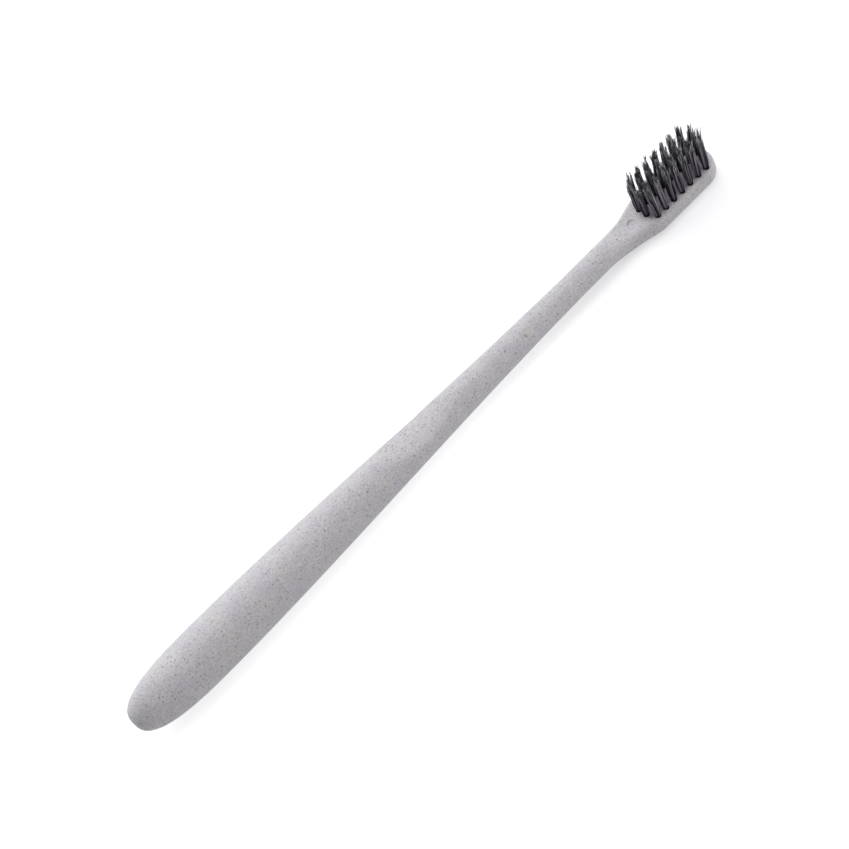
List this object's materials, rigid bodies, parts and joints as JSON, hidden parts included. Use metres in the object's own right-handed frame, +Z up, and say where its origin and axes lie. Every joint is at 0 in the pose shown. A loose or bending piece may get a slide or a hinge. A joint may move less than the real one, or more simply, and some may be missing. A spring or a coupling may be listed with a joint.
{
  "type": "manual toothbrush",
  "caption": "Manual toothbrush: round tapered handle with a dished thumb rest and slim neck, and a flat head with staggered rows of charcoal bristle tufts held by metal anchors.",
  "frame": {"origin": "middle of the brush's length and width, on the surface that the brush lies on when it rests on its back", "axes": "+Z up from that surface, the way the bristles point, +X from the tail of the handle to the head, +Y to the left of +X seen from above. The straight brush is tipped by 1.35 degrees, as it lies on its belly and the tip of its head"},
  "size_m": [0.19, 0.0138, 0.0156],
  "materials": {
    "handle": "matt, straw-fibre filled, with fine dark specks",
    "bristles": "charcoal nylon filaments with slightly paler tapered tips",
    "anchors": "plain stamped strip"
  },
  "bodies": {
    "root": {"handle": "handle", "tuft_left_inner_1": "bristles", "tuft_left_inner_2": "bristles", "tuft_left_inner_3": "bristles", "tuft_left_inner_4": "bristles", "tuft_left_inner_5": "bristles", "tuft_left_inner_6": "bristles", "tuft_left_inner_7": "bristles", "tuft_left_inner_8": "bristles", "tuft_left_outer_1": "bristles", "tuft_left_outer_2": "bristles", "tuft_left_outer_3": "bristles", "tuft_left_outer_4": "bristles", "tuft_left_outer_5": "bristles", "tuft_left_outer_6": "bristles", "tuft_left_outer_7": "bristles", "tuft_right_inner_1": "bristles", "tuft_right_inner_2": "bristles", "tuft_right_inner_3": "bristles", "tuft_right_inner_4": "bristles", "tuft_right_inner_5": "bristles", "tuft_right_inner_6": "bristles", "tuft_right_inner_7": "bristles", "tuft_right_inner_8": "bristles", "tuft_right_outer_1": "bristles", "tuft_right_outer_2": "bristles", "tuft_right_outer_3": "bristles", "tuft_right_outer_4": "bristles", "tuft_right_outer_5": "bristles", "tuft_right_outer_6": "bristles", "tuft_right_outer_7": "bristles", "anchors_left_inner": "anchors", "anchors_left_outer": "anchors", "anchors_right_inner": "anchors", "anchors_right_outer": "anchors"}
  },
  "joints": []
}
